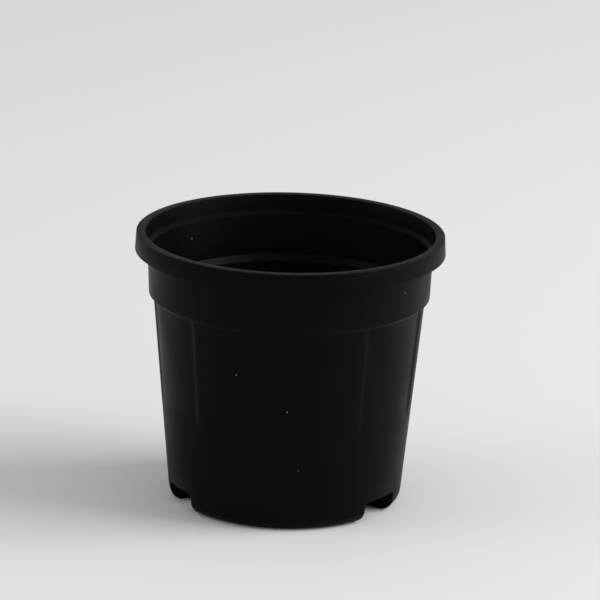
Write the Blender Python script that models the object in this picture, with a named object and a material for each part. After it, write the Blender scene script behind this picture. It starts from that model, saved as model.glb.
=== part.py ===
"""Empty round nursery pot, moulded in one piece: rolled rim, stepped collar, tapered wall and raised floor.

Metres, +Z up. The origin is the middle of the ring that the pot stands on, and Z is the pot's axis.
The front of the pot looks along -Y. Angles go round from the front towards +X.

The pot is a solid outer shape less a cavity. Everything that dents the outer shape from below or from
the side has a twin, one wall thicker, that the cavity leaves standing, so the wall keeps its thickness.
"""
import math

import bmesh
import bpy
from mathutils import Matrix, Vector

MM = 0.001

# Overall
HEIGHT = 115.3 * MM
WALL = 1.2 * MM
TURN_STEPS = 72             # facets round the pot

# Rolled rim: a lip with a skirt that hangs outside the wall and leaves a groove open below
RIM_RADIUS = 65.0 * MM      # outside of the skirt at its lower edge, the widest place
LIP_OUTER = 64.6 * MM
LIP_INNER = 60.7 * MM
LIP_ROUND = 1.3 * MM
SKIRT_DEPTH = 7.5 * MM
SKIRT_ROUND = 0.55 * MM
GROOVE_CLEARANCE = 0.2 * MM  # draft of the groove's two sides

# Collar below the rim, and the shoulder that steps in to the body
COLLAR_HEAD_RADIUS = 59.7 * MM
COLLAR_FOOT_RADIUS = 58.9 * MM
COLLAR_FOOT_DEPTH = 26.0 * MM
SHOULDER_FOOT_DEPTH = 28.5 * MM

# Tapered body
BODY_HEAD_RADIUS = 56.8 * MM
BODY_FOOT_RADIUS = 48.6 * MM
FOOT_ROUND = 6.0 * MM

# Base: raised floor, a hollow ring foot round it, and channels that break the ring into three feet
FLOOR_RISE = 9.0 * MM
RECESS_FOOT_RADIUS = 33.0 * MM
RECESS_HEAD_RADIUS = 31.5 * MM
CHANNEL_ANGLES = (55.5, -64.5, 175.5)
CHANNEL_WIDTH = 20.5 * MM
CHANNEL_ROUND = 2.0 * MM
CHANNEL_INNER = 29.8 * MM     # the ends of the channel cutters, inside the recess and outside the wall
CHANNEL_OUTER = 53.0 * MM
SLOT_WIDTH = 7.0 * MM
SLOT_INNER = 31.0 * MM
SLOT_OUTER = 43.0 * MM

# Shallow flutes in the body above each channel
FLUTE_DEPTH = 0.7 * MM
FLUTE_HALF_ANGLE = 21.5
FLUTE_EDGE_ANGLE = 3.0
FLUTE_FOOT = 38.0 * MM
FLUTE_RUN_OUT = 8.0 * MM

SHOULDER_FOOT = HEIGHT - SHOULDER_FOOT_DEPTH
PAST = 1.0 * MM             # how far a cutter runs past the face that it cuts


def clear_scene():
    for item in list(bpy.data.objects):
        bpy.data.objects.remove(item, do_unlink=True)


def add_object(name, mesh_data):
    mesh = bpy.data.meshes.new(name)
    bmesh.ops.recalc_face_normals(mesh_data, faces=mesh_data.faces)
    mesh_data.to_mesh(mesh)
    mesh_data.free()
    item = bpy.data.objects.new(name, mesh)
    bpy.context.scene.collection.objects.link(item)
    return item


def mark_as_cutter(item):
    item.hide_render = True
    item.display_type = "WIRE"
    return item


def cut(target, cutter):
    modifier = target.modifiers.new(cutter.name, "BOOLEAN")
    modifier.operation = "DIFFERENCE"
    modifier.solver = "EXACT"
    modifier.object = cutter


def arc(centre_radius, centre_height, radius, start, end, steps):
    """Points on an arc of the section, from one angle to another in degrees, both ends included."""
    points = []
    for step in range(steps + 1):
        angle = math.radians(start + (end - start) * step / steps)
        points.append((centre_radius + radius * math.cos(angle), centre_height + radius * math.sin(angle)))
    return points


def turned_solid(name, section):
    """A closed solid of revolution from section points (radius, height) that start and end on the axis."""
    mesh_data = bmesh.new()
    points = [mesh_data.verts.new((radius, 0.0, height)) for radius, height in section]
    edges = [mesh_data.edges.new(pair) for pair in zip(points, points[1:])]
    bmesh.ops.spin(
        mesh_data, geom=points + edges, cent=(0, 0, 0), axis=(0, 0, 1),
        angle=math.tau, steps=TURN_STEPS, use_merge=True,
    )
    bmesh.ops.remove_doubles(mesh_data, verts=mesh_data.verts, dist=0.001 * MM)
    return add_object(name, mesh_data)


def body_radius(height):
    return BODY_FOOT_RADIUS + (BODY_HEAD_RADIUS - BODY_FOOT_RADIUS) * height / SHOULDER_FOOT


def place_round_axis(item, angle):
    """Turn an object built along -Y, the front, to its angle round the pot."""
    item.matrix_world = Matrix.Rotation(math.radians(angle), 4, "Z")
    return item


def outer_shape():
    """The outside of the pot as a solid, with the groove under the rim."""
    skirt_foot = HEIGHT - SKIRT_DEPTH
    groove_head = HEIGHT - WALL - LIP_ROUND / 2
    section = [(0.0, HEIGHT)]
    section += arc(LIP_OUTER - LIP_ROUND, HEIGHT - LIP_ROUND, LIP_ROUND, 90, 0, 4)
    section += arc(RIM_RADIUS - SKIRT_ROUND, skirt_foot + SKIRT_ROUND, SKIRT_ROUND, 0, -90, 2)
    section += [
        (RIM_RADIUS - WALL, skirt_foot),
        (LIP_OUTER - WALL - GROOVE_CLEARANCE, groove_head),
        (LIP_INNER + WALL, groove_head),
        (LIP_INNER + WALL - GROOVE_CLEARANCE, skirt_foot),
        (COLLAR_HEAD_RADIUS, skirt_foot - WALL),
        (COLLAR_FOOT_RADIUS, HEIGHT - COLLAR_FOOT_DEPTH),
        (BODY_HEAD_RADIUS, SHOULDER_FOOT),
    ]
    section += arc(body_radius(FOOT_ROUND) - FOOT_ROUND, FOOT_ROUND, FOOT_ROUND, 0, -90, 5)
    section += [(0.0, 0.0)]
    return turned_solid("pot", section)


def cavity_shape():
    """The inside of the pot as a solid that runs up past the rim."""
    skirt_foot = HEIGHT - SKIRT_DEPTH
    inner_round = FOOT_ROUND - WALL
    section = [(0.0, HEIGHT + PAST), (LIP_INNER + LIP_ROUND, HEIGHT + PAST)]
    section += arc(LIP_INNER + LIP_ROUND, HEIGHT - LIP_ROUND, LIP_ROUND, 90, 180, 4)
    section += [
        (LIP_INNER - GROOVE_CLEARANCE, skirt_foot),
        (COLLAR_HEAD_RADIUS - WALL, skirt_foot - WALL),
        (COLLAR_FOOT_RADIUS - WALL, HEIGHT - COLLAR_FOOT_DEPTH + WALL / 2),
        (BODY_HEAD_RADIUS - WALL, SHOULDER_FOOT + WALL / 2),
    ]
    section += arc(body_radius(FOOT_ROUND) - FOOT_ROUND, FOOT_ROUND, inner_round, 0, -90, 5)
    section += [(0.0, WALL)]
    return mark_as_cutter(turned_solid("cut_cavity", section))


def recess_shape(name, extra):
    """The hollow under the raised floor, grown on every side by extra."""
    section = [
        (0.0, FLOOR_RISE + extra),
        (RECESS_HEAD_RADIUS + extra, FLOOR_RISE + extra),
        (RECESS_FOOT_RADIUS + extra, -PAST),
        (0.0, -PAST),
    ]
    return mark_as_cutter(turned_solid(name, section))


def channel_shape(name, angle, extra):
    """A drainage channel from the recess out through the wall, with rounded upper corners."""
    half_width = CHANNEL_WIDTH / 2 + extra
    head = FLOOR_RISE + extra
    corner = CHANNEL_ROUND + extra
    outline = [(-half_width, -PAST)]
    outline += arc(-half_width + corner, head - corner, corner, 180, 90, 4)
    outline += arc(half_width - corner, head - corner, corner, 90, 0, 4)
    outline += [(half_width, -PAST)]
    mesh_data = bmesh.new()
    near = [mesh_data.verts.new((across, -CHANNEL_INNER, height)) for across, height in outline]
    face = mesh_data.faces.new(near)
    pushed = bmesh.ops.extrude_face_region(mesh_data, geom=[face])
    moved = [item for item in pushed["geom"] if isinstance(item, bmesh.types.BMVert)]
    bmesh.ops.translate(mesh_data, verts=moved, vec=Vector((0.0, CHANNEL_INNER - CHANNEL_OUTER, 0.0)))
    return place_round_axis(mark_as_cutter(add_object(name, mesh_data)), angle)


def slot_shape(name, angle):
    """A round-ended drainage slot through the roof of a channel."""
    radius = SLOT_WIDTH / 2
    outline = arc(0.0, -SLOT_INNER - radius, radius, 180, 0, 8)
    outline += arc(0.0, -SLOT_OUTER + radius, radius, 0, -180, 8)
    mesh_data = bmesh.new()
    floor = [mesh_data.verts.new((across, along, FLOOR_RISE - PAST)) for across, along in outline]
    face = mesh_data.faces.new(floor)
    pushed = bmesh.ops.extrude_face_region(mesh_data, geom=[face])
    moved = [item for item in pushed["geom"] if isinstance(item, bmesh.types.BMVert)]
    bmesh.ops.translate(mesh_data, verts=moved, vec=Vector((0.0, 0.0, WALL + 2 * PAST)))
    return place_round_axis(mark_as_cutter(add_object(name, mesh_data)), angle)


def flute_shape(name, angle, inset):
    """The layer that a flute takes off the body: full depth between its edges, running out at its foot."""
    full_foot = FLUTE_FOOT + FLUTE_RUN_OUT
    slope = FLUTE_DEPTH / FLUTE_RUN_OUT
    past_foot = FLUTE_FOOT - FLUTE_RUN_OUT / 2
    rows = (
        (past_foot, slope * (past_foot - FLUTE_FOOT)),
        (full_foot, FLUTE_DEPTH),
        (SHOULDER_FOOT, FLUTE_DEPTH),
    )
    flat_half = FLUTE_HALF_ANGLE - FLUTE_EDGE_ANGLE
    flat_steps = 8
    columns = [-FLUTE_HALF_ANGLE]
    columns += [-flat_half + 2 * flat_half * step / flat_steps for step in range(flat_steps + 1)]
    columns += [FLUTE_HALF_ANGLE]
    mesh_data = bmesh.new()
    rings = []
    for height, depth in rows:
        inner = []
        outer = []
        for column in columns:
            at_edge = abs(column) > flat_half
            offset = PAST / 2 if at_edge else -depth
            around = math.radians(column)
            direction = Vector((math.sin(around), -math.cos(around), 0.0))
            lift = Vector((0.0, 0.0, height))
            inner.append(mesh_data.verts.new(direction * (body_radius(height) - inset + offset) + lift))
            outer.append(mesh_data.verts.new(direction * (BODY_HEAD_RADIUS + PAST) + lift))
        rings.append(inner + outer[::-1])
    mesh_data.faces.new(rings[0])
    mesh_data.faces.new(rings[-1])
    for lower, upper in zip(rings, rings[1:]):
        for step in range(len(lower)):
            following = (step + 1) % len(lower)
            mesh_data.faces.new((lower[step], lower[following], upper[following], upper[step]))
    return place_round_axis(mark_as_cutter(add_object(name, mesh_data)), angle)


def black_plastic():
    material = bpy.data.materials.new("black_plastic")
    material.use_nodes = True
    shader = material.node_tree.nodes["Principled BSDF"]
    shader.inputs["Base Color"].default_value = (0.012, 0.012, 0.014, 1.0)
    shader.inputs["Roughness"].default_value = 0.45
    shader.inputs["Metallic"].default_value = 0.0
    return material


def build_pot():
    pot = outer_shape()
    cavity = cavity_shape()
    cut(pot, recess_shape("cut_recess", 0.0))
    cut(cavity, recess_shape("keep_recess", WALL))
    for number, angle in enumerate(CHANNEL_ANGLES, start=1):
        cut(pot, channel_shape(f"cut_channel_{number}", angle, 0.0))
        cut(cavity, channel_shape(f"keep_channel_{number}", angle, WALL))
        cut(pot, flute_shape(f"cut_flute_{number}", angle, 0.0))
        cut(cavity, flute_shape(f"keep_flute_{number}", angle, WALL))
    cut(pot, cavity)
    for number, angle in enumerate(CHANNEL_ANGLES, start=1):
        cut(pot, slot_shape(f"cut_slot_{number}", angle))
    pot.data.materials.append(black_plastic())
    pot.data.shade_smooth()
    pot.data.set_sharp_from_angle(angle=math.radians(30))
    return pot


clear_scene()
build_pot()
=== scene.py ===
import math

import bmesh
import bpy
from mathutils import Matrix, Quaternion, Vector


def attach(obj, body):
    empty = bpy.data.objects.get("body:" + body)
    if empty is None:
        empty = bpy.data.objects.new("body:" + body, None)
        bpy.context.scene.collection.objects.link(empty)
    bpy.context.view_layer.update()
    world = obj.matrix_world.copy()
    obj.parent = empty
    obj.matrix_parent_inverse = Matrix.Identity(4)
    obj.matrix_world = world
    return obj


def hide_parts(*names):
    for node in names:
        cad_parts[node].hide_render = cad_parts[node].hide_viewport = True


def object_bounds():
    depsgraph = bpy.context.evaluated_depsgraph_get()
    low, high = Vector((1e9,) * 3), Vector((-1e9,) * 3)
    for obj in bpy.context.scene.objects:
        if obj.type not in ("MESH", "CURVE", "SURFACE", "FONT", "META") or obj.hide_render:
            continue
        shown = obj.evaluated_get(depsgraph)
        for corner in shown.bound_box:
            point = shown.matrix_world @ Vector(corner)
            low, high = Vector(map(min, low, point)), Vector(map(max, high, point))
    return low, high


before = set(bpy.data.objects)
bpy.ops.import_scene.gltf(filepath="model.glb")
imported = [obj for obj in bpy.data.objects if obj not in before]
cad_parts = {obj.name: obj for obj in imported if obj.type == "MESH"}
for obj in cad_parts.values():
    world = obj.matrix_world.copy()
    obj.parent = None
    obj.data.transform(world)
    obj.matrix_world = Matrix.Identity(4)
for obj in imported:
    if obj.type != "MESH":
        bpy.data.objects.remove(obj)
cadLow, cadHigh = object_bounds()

mm = 0.001
slack = 0.02  # millimetres and degrees, for finding corners and faces by their place

cameraView = {
    "distance": 2.2,  # metres from the middle of the rim
    "elevation": 15.6,  # degrees above the rim
    "lens": 315.9,
    "sensor": 36.0,
    "nearClip": 0.1,
    "farClip": 30.0,
    "roll": 1.45,
    "aimDown": 0.730,  # degrees that the camera looks below the middle of the rim
    "aimRight": 0.118,
}


def makeCamera():
    values = cameraView
    rimMiddle = Vector((0, 0, cadHigh.z))
    lift = math.radians(values["elevation"])
    back = Vector((0, -math.cos(lift), math.sin(lift)))
    bpy.ops.object.camera_add(location=rimMiddle + back * values["distance"])
    camera = bpy.context.object
    camera.name = "studioCamera"
    camera.data.lens = values["lens"]
    camera.data.sensor_width = values["sensor"]
    camera.data.clip_start = values["nearClip"]
    camera.data.clip_end = values["farClip"]
    toRim = (-back).to_track_quat("-Z", "Y")
    down = Quaternion((1, 0, 0), math.radians(-values["aimDown"]))
    right = Quaternion((0, 1, 0), math.radians(-values["aimRight"]))
    roll = Quaternion((0, 0, 1), math.radians(values["roll"]))
    camera.rotation_mode = "QUATERNION"
    camera.rotation_quaternion = toRim @ right @ down @ roll
    bpy.context.scene.camera = camera


bpy.ops.object.select_all(action="DESELECT")
makeCamera()
print("camera placed")


# millimetres and degrees
potShape = {
    "wall": 1.2,
    "skirtDepth": 7.5,
    "skirtInner": 63.8,
    "grooveOuter": 63.4,
    "grooveInner": 61.9,
    "neck": 61.7,
    "collarHead": 59.7,
    "collarFoot": 58.9,
    "collarFootDepth": 26.0,
    "shoulderDepth": 28.5,
    "bodyHead": 56.8,
    "bodyFoot": 48.6,  # where the wall would meet the ground
    "wallRings": (78.0, 67.0, 56.0),  # heights of rings above the flutes' fade
    "lowRings": (28.0, 18.0),  # and below it
    "footRound": 6.0,
    "footSteps": 6,
    "baseHeight": 20.0,  # the channels lie wholly below this
    "floorRise": 9.0,
    "floorRings": (30.4, 22.0, 12.0, 4.0),
    "recessHead": 31.5,
    "recessFoot": 33.0,
    "channels": (55.5, -64.5, 175.5),  # from the front towards +X
    "channelHalf": 10.25,
    "channelRound": 2.0,
    "roofSteps": 4,  # columns to half a channel's flat roof, and to each of its rounds
    "sideColumns": (14.2, 16.4),  # between a channel and its flute's edge
    "outerColumn": 24.0,
    "columnGap": 2.8,
    "slotRadius": 3.5,
    "slotFaces": 48,
    "endFacing": 0.9,  # how squarely a face of the cutter points along it to be an end
    "slotInner": 31.0,
    "slotOuter": 43.0,
    "slotFlare": 0.3,
    "flareReach": 1.2,  # how far the cutter's flared ends run
    "fluteDepth": 0.7,
    "fluteFlat": 18.5,
    "fluteEdge": 21.5,
    "fluteEase": (0.74, 0.26),  # shares of the depth between flat and edge
    "fluteFoot": 38.0,
    "fluteFull": 46.0,
    "fluteFade": (0.84, 0.5, 0.16),  # shares of the depth between full and foot
    "shoulderSpan": (54.0, 60.0, 29.5, 23.8),  # least and most radius, most and least depth below the top
    "shoulderRound": 1.2,
    "neckSpan": (58.2, 62.2, 8.8, 4.8),
    "neckRound": 0.8,
    "ringDrop": 0.2,  # the most that an edge of a ring climbs
    "ringDrift": 0.8,  # and the most that its radius changes
    "ringBend": 15,
    "ringSegments": 3,
    "edgeRound": 0.45,
    "edgeBend": 32,
    "edgeSegments": 2,
    "smoothBend": 30,
    "mergeDistance": 0.001,
}
top = cadHigh.z / mm
skirtFoot = top - potShape["skirtDepth"]
shoulderFoot = top - potShape["shoulderDepth"]
channelSeat = potShape["floorRise"] - potShape["channelRound"]  # where a channel's roof starts to curve


def bodyRadius(height):
    taper = (potShape["bodyHead"] - potShape["bodyFoot"]) / shoulderFoot
    return potShape["bodyFoot"] + taper * height


def recessRadius(height):
    slope = (potShape["recessHead"] - potShape["recessFoot"]) / potShape["floorRise"]
    return potShape["recessFoot"] + slope * height


def channelRoof(across):
    flat = potShape["channelHalf"] - potShape["channelRound"]
    over = abs(across) - flat
    if over <= 0:
        return potShape["floorRise"]
    over = min(over, potShape["channelRound"])
    return channelSeat + math.sqrt(potShape["channelRound"] ** 2 - over ** 2)


def fluteStep(shape):
    return (shape["fluteEdge"] - shape["fluteFlat"]) / (len(shape["fluteEase"]) + 1)


def columnAngles():
    shape = potShape
    mouth = bodyRadius(shape["floorRise"])
    flat = shape["channelHalf"] - shape["channelRound"]
    steps = shape["roofSteps"]
    turns = [math.radians(90 * step / steps) for step in range(1, steps + 1)]
    near = [flat * step / steps for step in range(steps + 1)]
    near += [flat + shape["channelRound"] * math.sin(turn) for turn in turns]
    half = [math.degrees(math.asin(across / mouth)) for across in near]
    half += shape["sideColumns"]
    stripes = len(shape["fluteEase"]) + 2
    half += [shape["fluteFlat"] + step * fluteStep(shape) for step in range(stripes)]
    half.append(shape["outerColumn"])
    angles = []
    centres = sorted(angle % 360 for angle in shape["channels"])
    for number, centre in enumerate(centres):
        angles += [centre - angle for angle in half[:0:-1]]
        angles += [centre + angle for angle in half]
        following = centres[(number + 1) % len(centres)]
        gap = (following - centre) % 360 - 2 * half[-1]
        steps = round(gap / shape["columnGap"])
        angles += [centre + half[-1] + gap * step / steps for step in range(1, steps)]
    return angles


def nearestChannel(angle):
    offsets = [(angle - centre + 180) % 360 - 180 for centre in potShape["channels"]]
    closest = min(range(len(offsets)), key=lambda number: abs(offsets[number]))
    return potShape["channels"][closest], offsets[closest]


def placeOf(point):  # radius, angle and height
    radius = math.hypot(point.x, point.y) / mm
    angle = math.degrees(math.atan2(point.x, -point.y))
    return radius, angle, point.z / mm


def pointAt(radius, angle, height):
    turn = math.radians(angle)
    return Vector((radius * math.sin(turn), -radius * math.cos(turn), height)) * mm


def sectionRings():  # radius and height, from the skirt's inner edge to the middle of the floor
    shape = potShape
    rings = [
        (shape["skirtInner"], skirtFoot),
        (shape["grooveOuter"], top - shape["wall"]),
        (shape["grooveInner"], top - shape["wall"]),
        (shape["neck"], skirtFoot),
        (shape["collarHead"], skirtFoot - shape["wall"]),
        (shape["collarFoot"], top - shape["collarFootDepth"]),
        (shape["bodyHead"], shoulderFoot),
    ]
    full, foot = shape["fluteFull"], shape["fluteFoot"]
    fadeSteps = len(shape["fluteFade"]) + 1
    heights = [*shape["wallRings"], full]
    heights += [full + (foot - full) * step / fadeSteps for step in range(1, fadeSteps + 1)]
    heights += [*shape["lowRings"], shape["floorRise"]]
    rings += [(bodyRadius(height), height) for height in heights]
    footRound, steps = shape["footRound"], shape["footSteps"]
    middle = bodyRadius(footRound) - footRound
    for step in range(steps + 1):
        turn = math.radians(90 * step / steps)
        rings.append((middle + footRound * math.cos(turn), footRound * (1 - math.sin(turn))))
    rings += [
        (shape["recessFoot"], 0.0),
        (recessRadius(channelSeat), channelSeat),
        (shape["recessHead"], shape["floorRise"]),
    ]
    rings += [(radius, shape["floorRise"]) for radius in shape["floorRings"]]
    return rings


def selectOnly(mesh, items):
    for group in (mesh.faces, mesh.edges, mesh.verts):
        for item in group:
            item.select = False
    for item in items:
        item.select = True
    mesh.select_flush_mode()


# columns run parallel inside a channel, and close up evenly between channels
def respaceUnderside(mesh):
    shape = potShape
    mouth = bodyRadius(shape["floorRise"])
    sideAtWall = math.degrees(math.asin(shape["channelHalf"] / mouth))
    for vertex in mesh.verts:
        radius, angle, height = placeOf(vertex.co)
        if height > shape["floorRise"] + slack:
            continue
        centre, offset = nearestChannel(angle)
        across = mouth * math.sin(math.radians(offset))
        reach = max(radius, shape["recessHead"])
        sign = math.copysign(1, offset)
        if abs(across) <= shape["channelHalf"] + slack:
            atMouth = abs(radius - mouth) < slack and height > channelSeat
            atRecess = radius < shape["recessFoot"] and abs(height - channelSeat) < slack
            if atMouth or atRecess:
                height = channelRoof(across)
                radius = bodyRadius(height) if atMouth else recessRadius(height)
                reach = radius
            angle = centre + math.degrees(math.asin(across / reach))
        else:
            side = math.degrees(math.asin(shape["channelHalf"] / reach))
            others = [other for other in shape["channels"] if other != centre]
            gap = min((sign * (other - centre)) % 360 for other in others)
            share = (abs(offset) - sideAtWall) / (gap - 2 * sideAtWall)
            angle = centre + sign * (side + share * (gap - 2 * side))
        vertex.co = pointAt(radius, angle, height)


def openChannels(pot):
    shape = potShape
    mesh = bmesh.from_edit_mesh(pot.data)
    chosen = []
    for face in mesh.faces:
        radius, angle, height = placeOf(face.calc_center_median())
        across = radius * math.sin(math.radians(nearestChannel(angle)[1]))
        below = height < shape["floorRise"] - slack and radius > recessRadius(channelSeat) + slack
        if below and abs(across) < shape["channelHalf"] - slack:
            chosen.append(face)
    selectOnly(mesh, chosen)
    bpy.ops.mesh.delete(type="FACE")
    for channel in shape["channels"]:
        mesh = bmesh.from_edit_mesh(pot.data)
        rims = [edge for edge in mesh.edges if edge.is_boundary]
        selectOnly(mesh, [edge for edge in rims if onRoofLine(edge, channel)])
        bpy.ops.mesh.bridge_edge_loops()
        for sign in (-1, 1):
            mesh = bmesh.from_edit_mesh(pot.data)
            rims = [edge for edge in mesh.edges if edge.is_boundary]
            selectOnly(mesh, [edge for edge in rims if onSide(edge, channel, sign)])
            bpy.ops.mesh.edge_face_add()


def acrossChannel(point, channel):
    radius, angle, height = placeOf(point)
    turn = math.radians(angle - channel)
    return radius * math.sin(turn), radius * math.cos(turn), height


def onRoofLine(edge, channel):
    shape = potShape
    ends = [acrossChannel(vertex.co, channel) for vertex in edge.verts]
    sideways = abs(ends[0][0] - ends[1][0]) > slack
    return sideways and all(
        along > 0 and abs(across) < shape["channelHalf"] + slack and height < shape["baseHeight"]
        for across, along, height in ends
    )


def onSide(edge, channel, sign):
    shape = potShape
    ends = [acrossChannel(vertex.co, channel) for vertex in edge.verts]
    return all(
        along > 0 and abs(across - sign * shape["channelHalf"]) < slack and height < shape["baseHeight"]
        for across, along, height in ends
    )


def pressFlutes(pot):
    shape = potShape
    full, foot = shape["fluteFull"], shape["fluteFoot"]
    bands = [(full, shoulderFoot, 1.0)]  # lowest and highest ring, and share of the depth
    for number, share in enumerate(shape["fluteFade"], 1):
        height = full + (foot - full) * number / (len(shape["fluteFade"]) + 1)
        bands.append((height, height, share))
    stripes = [(0, shape["fluteFlat"], 1.0)]  # innermost and outermost column, and share of the depth
    for number, share in enumerate(shape["fluteEase"], 1):
        offset = shape["fluteFlat"] + fluteStep(shape) * number
        stripes.append((offset, offset, share))
    for low, high, downShare in bands:
        for inner, outer, aroundShare in stripes:
            mesh = bmesh.from_edit_mesh(pot.data)
            chosen = []
            for vertex in mesh.verts:
                radius, angle, height = placeOf(vertex.co)
                offset = abs(nearestChannel(angle)[1])
                if low - slack < height < high + slack and inner - slack < offset < outer + slack:
                    chosen.append(vertex)
            selectOnly(mesh, chosen)
            keep = 1 - shape["fluteDepth"] * downShare * aroundShare / bodyRadius((low + high) / 2)
            bpy.ops.transform.resize(value=(keep, keep, 1), center_override=(0, 0, 0))


def bevelChosen(mesh, chosen, size, segments):
    selectOnly(mesh, chosen)
    bpy.ops.mesh.bevel(offset=size * mm, segments=segments, affect="EDGES", clamp_overlap=True)


def bevelRings(pot, span, size):
    shape = potShape
    inner, outer, deep, shallow = span
    bend = math.radians(shape["ringBend"])
    mesh = bmesh.from_edit_mesh(pot.data)
    chosen = []
    for edge in mesh.edges:
        radii, angles, heights = zip(*[placeOf(vertex.co) for vertex in edge.verts])
        within = inner <= min(radii) and max(radii) <= outer
        within = within and top - deep <= min(heights) and max(heights) <= top - shallow
        level = max(heights) - min(heights) < shape["ringDrop"]
        level = level and max(radii) - min(radii) < shape["ringDrift"]
        if within and level and edge.is_manifold and edge.calc_face_angle() > bend:
            chosen.append(edge)
    bevelChosen(mesh, chosen, size, shape["ringSegments"])


def bevelSharp(pot):
    shape = potShape
    mesh = bmesh.from_edit_mesh(pot.data)
    chosen = []
    for edge in mesh.edges:
        if edge.is_manifold and edge.calc_face_angle() > math.radians(shape["edgeBend"]):
            chosen.append(edge)
    bevelChosen(mesh, chosen, shape["edgeRound"], shape["edgeSegments"])


def cutSlot(pot, channel):
    shape = potShape
    radius, flare, reach = shape["slotRadius"], shape["slotFlare"], shape["flareReach"]
    straight = shape["slotOuter"] - shape["slotInner"] - 2 * radius
    low, high = shape["floorRise"], shape["floorRise"] + shape["wall"]
    middle = Vector((0, -(shape["slotInner"] + radius) * mm, 0))
    bpy.ops.object.select_all(action="DESELECT")
    bpy.ops.mesh.primitive_cylinder_add(
        vertices=shape["slotFaces"],
        radius=radius * mm,
        depth=(high - low - 2 * flare) * mm,
        location=(0, middle.y, (low + high) / 2 * mm),
    )
    cutter = bpy.context.object
    bpy.ops.object.transform_apply(location=True, rotation=True, scale=True)
    bpy.ops.object.mode_set(mode="EDIT")
    for side in (1, -1):
        mesh = bmesh.from_edit_mesh(cutter.data)
        selectOnly(mesh, [face for face in mesh.faces if face.normal.z * side > shape["endFacing"]])
        bpy.ops.mesh.extrude_region_move(TRANSFORM_OT_translate={"value": (0, 0, side * reach * mm)})
        grow = (radius + reach) / radius
        bpy.ops.transform.resize(value=(grow, grow, 1), center_override=middle)
    mesh = bmesh.from_edit_mesh(cutter.data)
    selectOnly(mesh, [vertex for vertex in mesh.verts if vertex.co.y < middle.y + slack * mm])
    bpy.ops.transform.translate(value=(0, -straight * mm, 0))
    bpy.ops.mesh.select_all(action="SELECT")
    bpy.ops.mesh.normals_make_consistent(inside=False)
    bpy.ops.object.mode_set(mode="OBJECT")
    cutter.rotation_euler.z = math.radians(channel)
    bpy.ops.object.transform_apply(location=True, rotation=True, scale=True)
    bpy.ops.object.select_all(action="DESELECT")
    pot.select_set(True)
    bpy.context.view_layer.objects.active = pot
    modifier = pot.modifiers.new("slot", "BOOLEAN")
    modifier.operation = "DIFFERENCE"
    modifier.solver = "EXACT"
    modifier.object = cutter
    bpy.ops.object.modifier_apply(modifier="slot")
    bpy.data.objects.remove(cutter, do_unlink=True)


def makePot():
    shape = potShape
    rings = sectionRings()
    angles = columnAngles()
    bpy.ops.object.select_all(action="DESELECT")
    bpy.ops.mesh.primitive_circle_add(vertices=len(angles), radius=rings[0][0] * mm, location=(0, 0, 0))
    pot = bpy.context.object
    pot.name = "nurseryPot"
    for vertex, angle in zip(pot.data.vertices, angles):
        vertex.co = pointAt(rings[0][0], angle, rings[0][1])
    bpy.ops.object.mode_set(mode="EDIT")
    bpy.ops.mesh.select_all(action="SELECT")
    for (radius, height), (nextRadius, nextHeight) in zip(rings, rings[1:]):
        rise = (0, 0, (nextHeight - height) * mm)
        bpy.ops.mesh.extrude_region_move(TRANSFORM_OT_translate={"value": rise})
        grow = nextRadius / radius
        bpy.ops.transform.resize(value=(grow, grow, 1), center_override=(0, 0, 0))
    bpy.ops.mesh.extrude_region_move(TRANSFORM_OT_translate={"value": (0, 0, 0)})
    bpy.ops.mesh.merge(type="CENTER")
    respaceUnderside(bmesh.from_edit_mesh(pot.data))
    bmesh.update_edit_mesh(pot.data)
    openChannels(pot)
    pressFlutes(pot)
    bpy.ops.mesh.select_all(action="SELECT")
    bpy.ops.mesh.remove_doubles(threshold=shape["mergeDistance"] * mm)
    bpy.ops.mesh.normals_make_consistent(inside=True)
    bpy.ops.object.mode_set(mode="OBJECT")
    modifier = pot.modifiers.new("wall", "SOLIDIFY")
    modifier.thickness = shape["wall"] * mm
    modifier.offset = -1
    modifier.use_even_offset = True
    modifier.use_quality_normals = True
    bpy.ops.object.modifier_apply(modifier="wall")
    bpy.ops.object.mode_set(mode="EDIT")
    bevelRings(pot, shape["shoulderSpan"], shape["shoulderRound"])
    bevelRings(pot, shape["neckSpan"], shape["neckRound"])
    bevelSharp(pot)
    bpy.ops.object.mode_set(mode="OBJECT")
    for channel in shape["channels"]:
        cutSlot(pot, channel)
    bpy.ops.object.shade_smooth_by_angle(angle=math.radians(shape["smoothBend"]))
    return pot


pot = makePot()
print("pot shaped")


plasticFinish = {
    "deep": (0.0012, 0.0013, 0.0015, 1),
    "pale": (0.0026, 0.0027, 0.0030, 1),
    "speck": (0.30, 0.30, 0.29, 1),
    "specular": 0.05,
    "smooth": 0.40,
    "rough": 0.50,
    "cloudLow": 0.3,  # cloud values that give the smooth and the rough gloss
    "cloudHigh": 0.7,
    "cloudScale": 55.0,  # per metre, as all scales here
    "cloudDetail": 4,
    "grainScale": 1700.0,
    "grainDetail": 3,
    "drawScale": 420.0,
    "drawDetail": 2,
    "drawStretch": 0.03,  # a small value draws the marks far up the wall
    "drawShare": 0.55,  # their height against the grain's
    "speckScale": 190.0,
    "speckSize": 0.055,
    "speckShare": 0.05,
    "bumpDepth": 0.00006,
}


def addSockets(group, inputs, outputs):
    for name in inputs:
        group.interface.new_socket(name=name, in_out="INPUT", socket_type="NodeSocketFloat")
    for name in outputs:
        group.interface.new_socket(name=name, in_out="OUTPUT", socket_type="NodeSocketFloat")


def addNode(tree, kind, place, **settings):
    node = tree.nodes.new(kind)
    node.location = place
    for name, value in settings.items():
        setattr(node, name, value)
    return node


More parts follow.
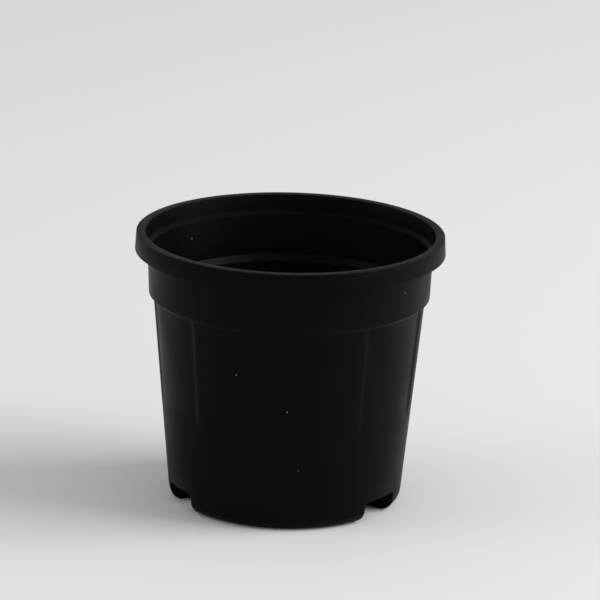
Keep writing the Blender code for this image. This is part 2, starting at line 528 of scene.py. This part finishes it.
def makeGrainGroup():  # fine grain, draw marks up the wall and broad cloudiness
    finish = plasticFinish
    group = bpy.data.node_groups.new("mouldedSurface", "ShaderNodeTree")
    addSockets(group, ("Grain Scale", "Cloud Scale", "Draw Scale", "Draw Stretch"), ("Height", "Cloud"))
    ends = addNode(group, "NodeGroupInput", (-800, 0))
    out = addNode(group, "NodeGroupOutput", (600, 0))
    coords = addNode(group, "ShaderNodeTexCoord", (-800, -300))
    grain = addNode(group, "ShaderNodeTexNoise", (-300, 300))
    grain.inputs["Detail"].default_value = finish["grainDetail"]
    cloud = addNode(group, "ShaderNodeTexNoise", (-300, 0))
    cloud.inputs["Detail"].default_value = finish["cloudDetail"]
    stretch = addNode(group, "ShaderNodeCombineXYZ", (-600, -300))
    stretch.inputs["X"].default_value = 1
    stretch.inputs["Y"].default_value = 1
    along = addNode(group, "ShaderNodeVectorMath", (-450, -300), operation="MULTIPLY")
    draw = addNode(group, "ShaderNodeTexNoise", (-300, -300))
    draw.inputs["Detail"].default_value = finish["drawDetail"]
    mix = addNode(group, "ShaderNodeMath", (100, 100), operation="MULTIPLY_ADD")
    mix.inputs[1].default_value = finish["drawShare"]
    link = group.links.new
    link(coords.outputs["Object"], grain.inputs["Vector"])
    link(coords.outputs["Object"], cloud.inputs["Vector"])
    link(coords.outputs["Object"], along.inputs[0])
    link(ends.outputs["Draw Stretch"], stretch.inputs["Z"])
    link(stretch.outputs["Vector"], along.inputs[1])
    link(along.outputs["Vector"], draw.inputs["Vector"])
    link(ends.outputs["Grain Scale"], grain.inputs["Scale"])
    link(ends.outputs["Cloud Scale"], cloud.inputs["Scale"])
    link(ends.outputs["Draw Scale"], draw.inputs["Scale"])
    link(draw.outputs["Fac"], mix.inputs[0])
    link(grain.outputs["Fac"], mix.inputs[2])
    link(mix.outputs["Value"], out.inputs["Height"])
    link(cloud.outputs["Fac"], out.inputs["Cloud"])
    return group


def makeSpeckGroup():  # a few tiny grains of dust, as a mask
    group = bpy.data.node_groups.new("dustSpecks", "ShaderNodeTree")
    addSockets(group, ("Scale", "Size", "Share"), ("Mask",))
    ends = addNode(group, "NodeGroupInput", (-800, 0))
    out = addNode(group, "NodeGroupOutput", (600, 0))
    coords = addNode(group, "ShaderNodeTexCoord", (-800, -300))
    cells = addNode(group, "ShaderNodeTexVoronoi", (-500, 0))
    pick = addNode(group, "ShaderNodeSeparateColor", (-250, -200))
    few = addNode(group, "ShaderNodeMath", (0, -200), operation="LESS_THAN")
    small = addNode(group, "ShaderNodeMath", (0, 100), operation="LESS_THAN")
    both = addNode(group, "ShaderNodeMath", (250, 0), operation="MULTIPLY")
    link = group.links.new
    link(coords.outputs["Object"], cells.inputs["Vector"])
    link(ends.outputs["Scale"], cells.inputs["Scale"])
    link(cells.outputs["Distance"], small.inputs[0])
    link(ends.outputs["Size"], small.inputs[1])
    link(cells.outputs["Color"], pick.inputs["Color"])
    link(pick.outputs["Red"], few.inputs[0])
    link(ends.outputs["Share"], few.inputs[1])
    link(small.outputs["Value"], both.inputs[0])
    link(few.outputs["Value"], both.inputs[1])
    link(both.outputs["Value"], out.inputs["Mask"])
    return group


def makeBlackPlastic():
    finish = plasticFinish
    material = bpy.data.materials.new("blackPlastic")
    material.use_nodes = True
    tree = material.node_tree
    shader = tree.nodes["Principled BSDF"]
    shader.inputs["Specular IOR Level"].default_value = finish["specular"]
    surface = addNode(tree, "ShaderNodeGroup", (-900, 100), node_tree=makeGrainGroup())
    surface.inputs["Grain Scale"].default_value = finish["grainScale"]
    surface.inputs["Cloud Scale"].default_value = finish["cloudScale"]
    surface.inputs["Draw Scale"].default_value = finish["drawScale"]
    surface.inputs["Draw Stretch"].default_value = finish["drawStretch"]
    specks = addNode(tree, "ShaderNodeGroup", (-900, -200), node_tree=makeSpeckGroup())
    specks.inputs["Scale"].default_value = finish["speckScale"]
    specks.inputs["Size"].default_value = finish["speckSize"]
    specks.inputs["Share"].default_value = finish["speckShare"]
    shade = addNode(tree, "ShaderNodeMix", (-600, 200), data_type="RGBA")
    shade.inputs["A"].default_value = finish["deep"]
    shade.inputs["B"].default_value = finish["pale"]
    dusty = addNode(tree, "ShaderNodeMix", (-350, 200), data_type="RGBA")
    dusty.inputs["B"].default_value = finish["speck"]
    gloss = addNode(tree, "ShaderNodeMapRange", (-600, -50))
    gloss.inputs["From Min"].default_value = finish["cloudLow"]
    gloss.inputs["From Max"].default_value = finish["cloudHigh"]
    gloss.inputs["To Min"].default_value = finish["smooth"]
    gloss.inputs["To Max"].default_value = finish["rough"]
    bump = addNode(tree, "ShaderNodeBump", (-350, -300))
    bump.inputs["Distance"].default_value = finish["bumpDepth"]
    bump.inputs["Strength"].default_value = 1
    link = tree.links.new
    link(surface.outputs["Cloud"], shade.inputs["Factor"])
    link(shade.outputs["Result"], dusty.inputs["A"])
    link(specks.outputs["Mask"], dusty.inputs["Factor"])
    link(dusty.outputs["Result"], shader.inputs["Base Color"])
    link(surface.outputs["Cloud"], gloss.inputs["Value"])
    link(gloss.outputs["Result"], shader.inputs["Roughness"])
    link(surface.outputs["Height"], bump.inputs["Height"])
    link(bump.outputs["Normal"], shader.inputs["Normal"])
    return material


pot.data.materials.clear()
pot.data.materials.append(makeBlackPlastic())
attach(pot, "root")
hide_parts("pot")
print("plastic made")

studio = {
    "floorSize": 12.0,
    "floorColour": (0.80, 0.80, 0.80, 1),
    "floorRoughness": 0.9,
    "floorSpecular": 0.1,
    "backColour": (0.60, 0.58, 0.57, 1),
    "backStrength": 0.92,
    "lightTarget": (0, 0, 0.05),
    "keyPlace": (1.9, -0.15, 1.3),
    "keySize": 1.6,
    "keyPower": 44.0,
    "fillPlace": (-1.6, -0.3, 0.9),
    "fillSize": 1.0,
    "fillPower": 5.0,
}


def makeFloor():
    bpy.ops.object.select_all(action="DESELECT")
    bpy.ops.mesh.primitive_plane_add(size=studio["floorSize"], location=(0, 0, cadLow.z))
    floor = bpy.context.object
    floor.name = "studioFloor"
    material = bpy.data.materials.new("palePaint")
    material.use_nodes = True
    shader = material.node_tree.nodes["Principled BSDF"]
    shader.inputs["Base Color"].default_value = studio["floorColour"]
    shader.inputs["Roughness"].default_value = studio["floorRoughness"]
    shader.inputs["Specular IOR Level"].default_value = studio["floorSpecular"]
    floor.data.materials.append(material)


def makeSoftbox(name, place, size, power):
    bpy.ops.object.light_add(type="AREA", location=place)
    light = bpy.context.object
    light.name = name
    light.data.shape = "SQUARE"
    light.data.size = size
    light.data.energy = power
    light.rotation_mode = "QUATERNION"
    light.rotation_quaternion = (Vector(studio["lightTarget"]) - Vector(place)).to_track_quat("-Z", "Y")


def makeWorld():
    world = bpy.data.worlds.new("studioWorld")
    bpy.context.scene.world = world
    world.use_nodes = True
    background = world.node_tree.nodes["Background"]
    background.inputs["Color"].default_value = studio["backColour"]
    background.inputs["Strength"].default_value = studio["backStrength"]


makeFloor()
makeWorld()
makeSoftbox("keyLight", studio["keyPlace"], studio["keySize"], studio["keyPower"])
makeSoftbox("fillLight", studio["fillPlace"], studio["fillSize"], studio["fillPower"])
bpy.context.scene.view_settings.view_transform = "Standard"
print("studio lit")
